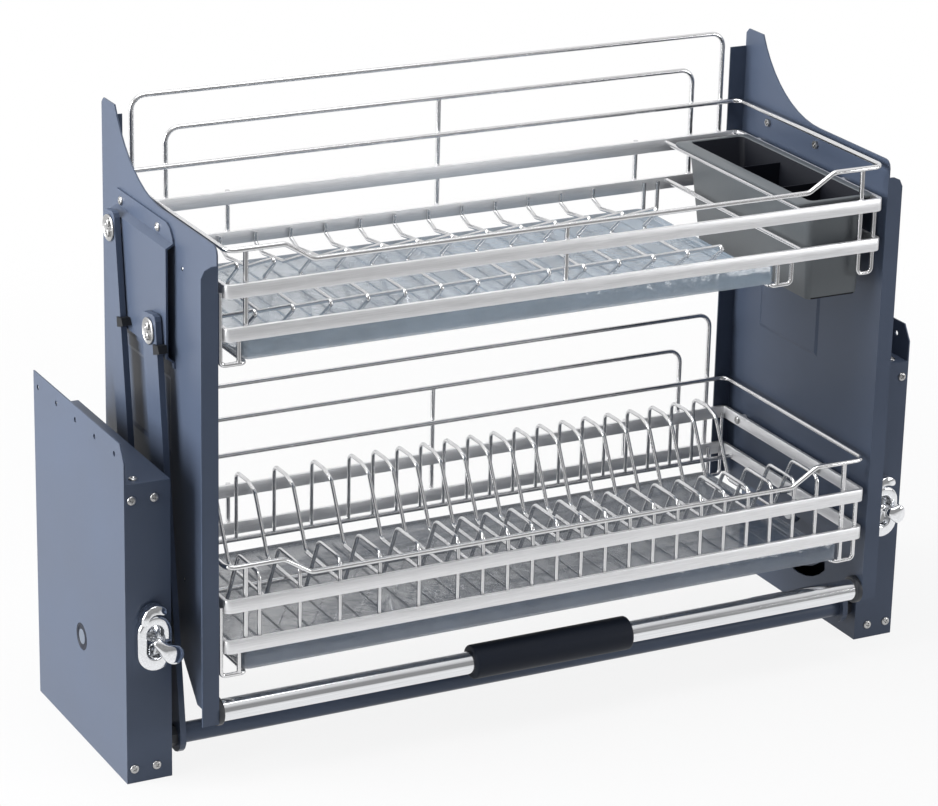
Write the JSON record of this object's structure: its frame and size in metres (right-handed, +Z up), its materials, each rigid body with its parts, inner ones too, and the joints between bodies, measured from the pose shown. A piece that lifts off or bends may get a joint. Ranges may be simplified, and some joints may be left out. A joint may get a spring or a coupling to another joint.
{
  "type": "pull-down dish rack",
  "caption": "Pull-down cabinet dish rack: side mechanism boxes, parallel swing arms, panelled wire baskets for bowls and plates, drip trays, cutlery box, handle bar.",
  "frame": {"origin": "centre of the footprint at the level of the mechanism box bottoms", "axes": "+X to the right seen from the front, -Y towards the user, +Z up"},
  "size_m": [0.864, 0.2864, 0.609],
  "materials": {
    "dark_paint": "satin",
    "zinc_screws": "bright",
    "bush_plastic": "matte",
    "plug_grey": "satin",
    "chrome": "polished",
    "shaft_steel": "machined",
    "spring_steel": "oiled",
    "brake_lining": "matte",
    "black_rubber": "matte",
    "stainless": "polished",
    "clear_plastic": "clear",
    "grey_plastic": "satin"
  },
  "bodies": {
    "mechanism_boxes": {"box_shell_left": "dark_paint", "box_shell_right": "dark_paint", "box_inner_plate_left": "dark_paint", "box_inner_plate_right": "dark_paint", "box_top_angle_left": "dark_paint", "box_top_angle_right": "dark_paint", "box_screws": "zinc_screws", "pivot_bushes": "bush_plastic", "side_plugs": "plug_grey", "escutcheon_left": "chrome", "escutcheon_right": "chrome", "spring_anchors": "shaft_steel", "brake_guides": "shaft_steel", "spring_left": "spring_steel", "spring_right": "spring_steel"},
    "front_arms": {"front_arm_left": "dark_paint", "front_arm_right": "dark_paint", "front_shaft_left": "shaft_steel", "front_shaft_right": "shaft_steel", "sync_tube": "dark_paint", "front_arm_bumpers": "black_rubber"},
    "rear_arm_left": {"rear_arm_left": "dark_paint", "rear_shaft_left": "shaft_steel", "crank_left": "shaft_steel", "crank_pin_left": "shaft_steel", "rear_arm_bumper_left": "black_rubber"},
    "rear_arm_right": {"rear_arm_right": "dark_paint", "rear_shaft_right": "shaft_steel", "crank_right": "shaft_steel", "crank_pin_right": "shaft_steel", "rear_arm_bumper_right": "black_rubber"},
    "rack": {"side_panel_left": "dark_paint", "side_panel_right": "dark_paint", "pivot_bracket_left": "dark_paint", "pivot_bracket_right": "dark_paint", "bracket_screws": "zinc_screws", "pivot_pins": "zinc_screws", "pivot_caps": "zinc_screws", "basket_screws": "zinc_screws", "upper_frame": "stainless", "lower_frame": "stainless", "upper_guard": "stainless", "lower_guard": "stainless", "bowl_wires": "stainless", "plate_wires": "stainless", "upper_runners": "stainless", "lower_runners": "stainless", "handle_tube": "chrome", "handle_collars": "bush_plastic", "grip": "black_rubber"},
    "knob_left": {"adjuster_knob_left": "chrome", "adjuster_spindle_left": "shaft_steel"},
    "brake_left": {"brake_block_left": "brake_lining"},
    "knob_right": {"adjuster_knob_right": "chrome", "adjuster_spindle_right": "shaft_steel"},
    "brake_right": {"brake_block_right": "brake_lining"},
    "upper_tray": {"upper_tray": "clear_plastic"},
    "lower_tray": {"lower_tray": "clear_plastic"},
    "cutlery_box": {"cutlery_box": "grey_plastic"}
  },
  "joints": [
    {"name": "front_swing", "type": "hinge", "parent": "mechanism_boxes", "child": "front_arms", "pos_m": [0, -0.07157, 0.034], "axis": [1, 0, 0], "range_deg": [0, 110]},
    {"name": "rear_swing_left", "type": "hinge", "parent": "mechanism_boxes", "child": "rear_arm_left", "pos_m": [-0.374, 0.02492, 0.107], "axis": [1, 0, 0], "range_deg": [0, 110], "deforming": ["spring_left"]},
    {"name": "rear_swing_right", "type": "hinge", "parent": "mechanism_boxes", "child": "rear_arm_right", "pos_m": [0.374, 0.02492, 0.107], "axis": [1, 0, 0], "range_deg": [0, 110], "deforming": ["spring_right"]},
    {"name": "rack_level", "type": "hinge", "parent": "front_arms", "child": "rack", "pos_m": [0, -0.01878, 0.42445], "axis": [1, 0, 0], "range_deg": [-110, 0]},
    {"name": "knob_turn_left", "type": "hinge", "parent": "mechanism_boxes", "child": "knob_left", "pos_m": [-0.406, -0.10007, 0.148], "axis": [0, 1, 0], "range_deg": [0, 90]},
    {"name": "brake_press_left", "type": "slide", "parent": "mechanism_boxes", "child": "brake_left", "axis": [0, 1, 0], "range_m": [0, 0.0004]},
    {"name": "knob_turn_right", "type": "hinge", "parent": "mechanism_boxes", "child": "knob_right", "pos_m": [0.406, -0.10007, 0.148], "axis": [0, 1, 0], "range_deg": [0, 90]},
    {"name": "brake_press_right", "type": "slide", "parent": "mechanism_boxes", "child": "brake_right", "axis": [0, 1, 0], "range_m": [0, 0.0004]},
    {"name": "upper_tray_slide", "type": "slide", "parent": "rack", "child": "upper_tray", "axis": [0, -1, 0], "range_m": [0, 0.25]},
    {"name": "lower_tray_slide", "type": "slide", "parent": "rack", "child": "lower_tray", "axis": [0, -1, 0], "range_m": [0, 0.25]},
    {"name": "cutlery_lift", "type": "slide", "parent": "rack", "child": "cutlery_box", "axis": [0, 0, 1], "range_m": [0, 0.11]}
  ],
  "couplings": [
    {"joint": "rear_swing_left", "follows": "front_swing", "ratio": 1},
    {"joint": "rear_swing_right", "follows": "front_swing", "ratio": 1},
    {"joint": "rack_level", "follows": "front_swing", "ratio": -1},
    {"joint": "brake_press_left", "follows": "knob_turn_left", "m_per_rad": 0.00025},
    {"joint": "brake_press_right", "follows": "knob_turn_right", "m_per_rad": 0.00025}
  ]
}
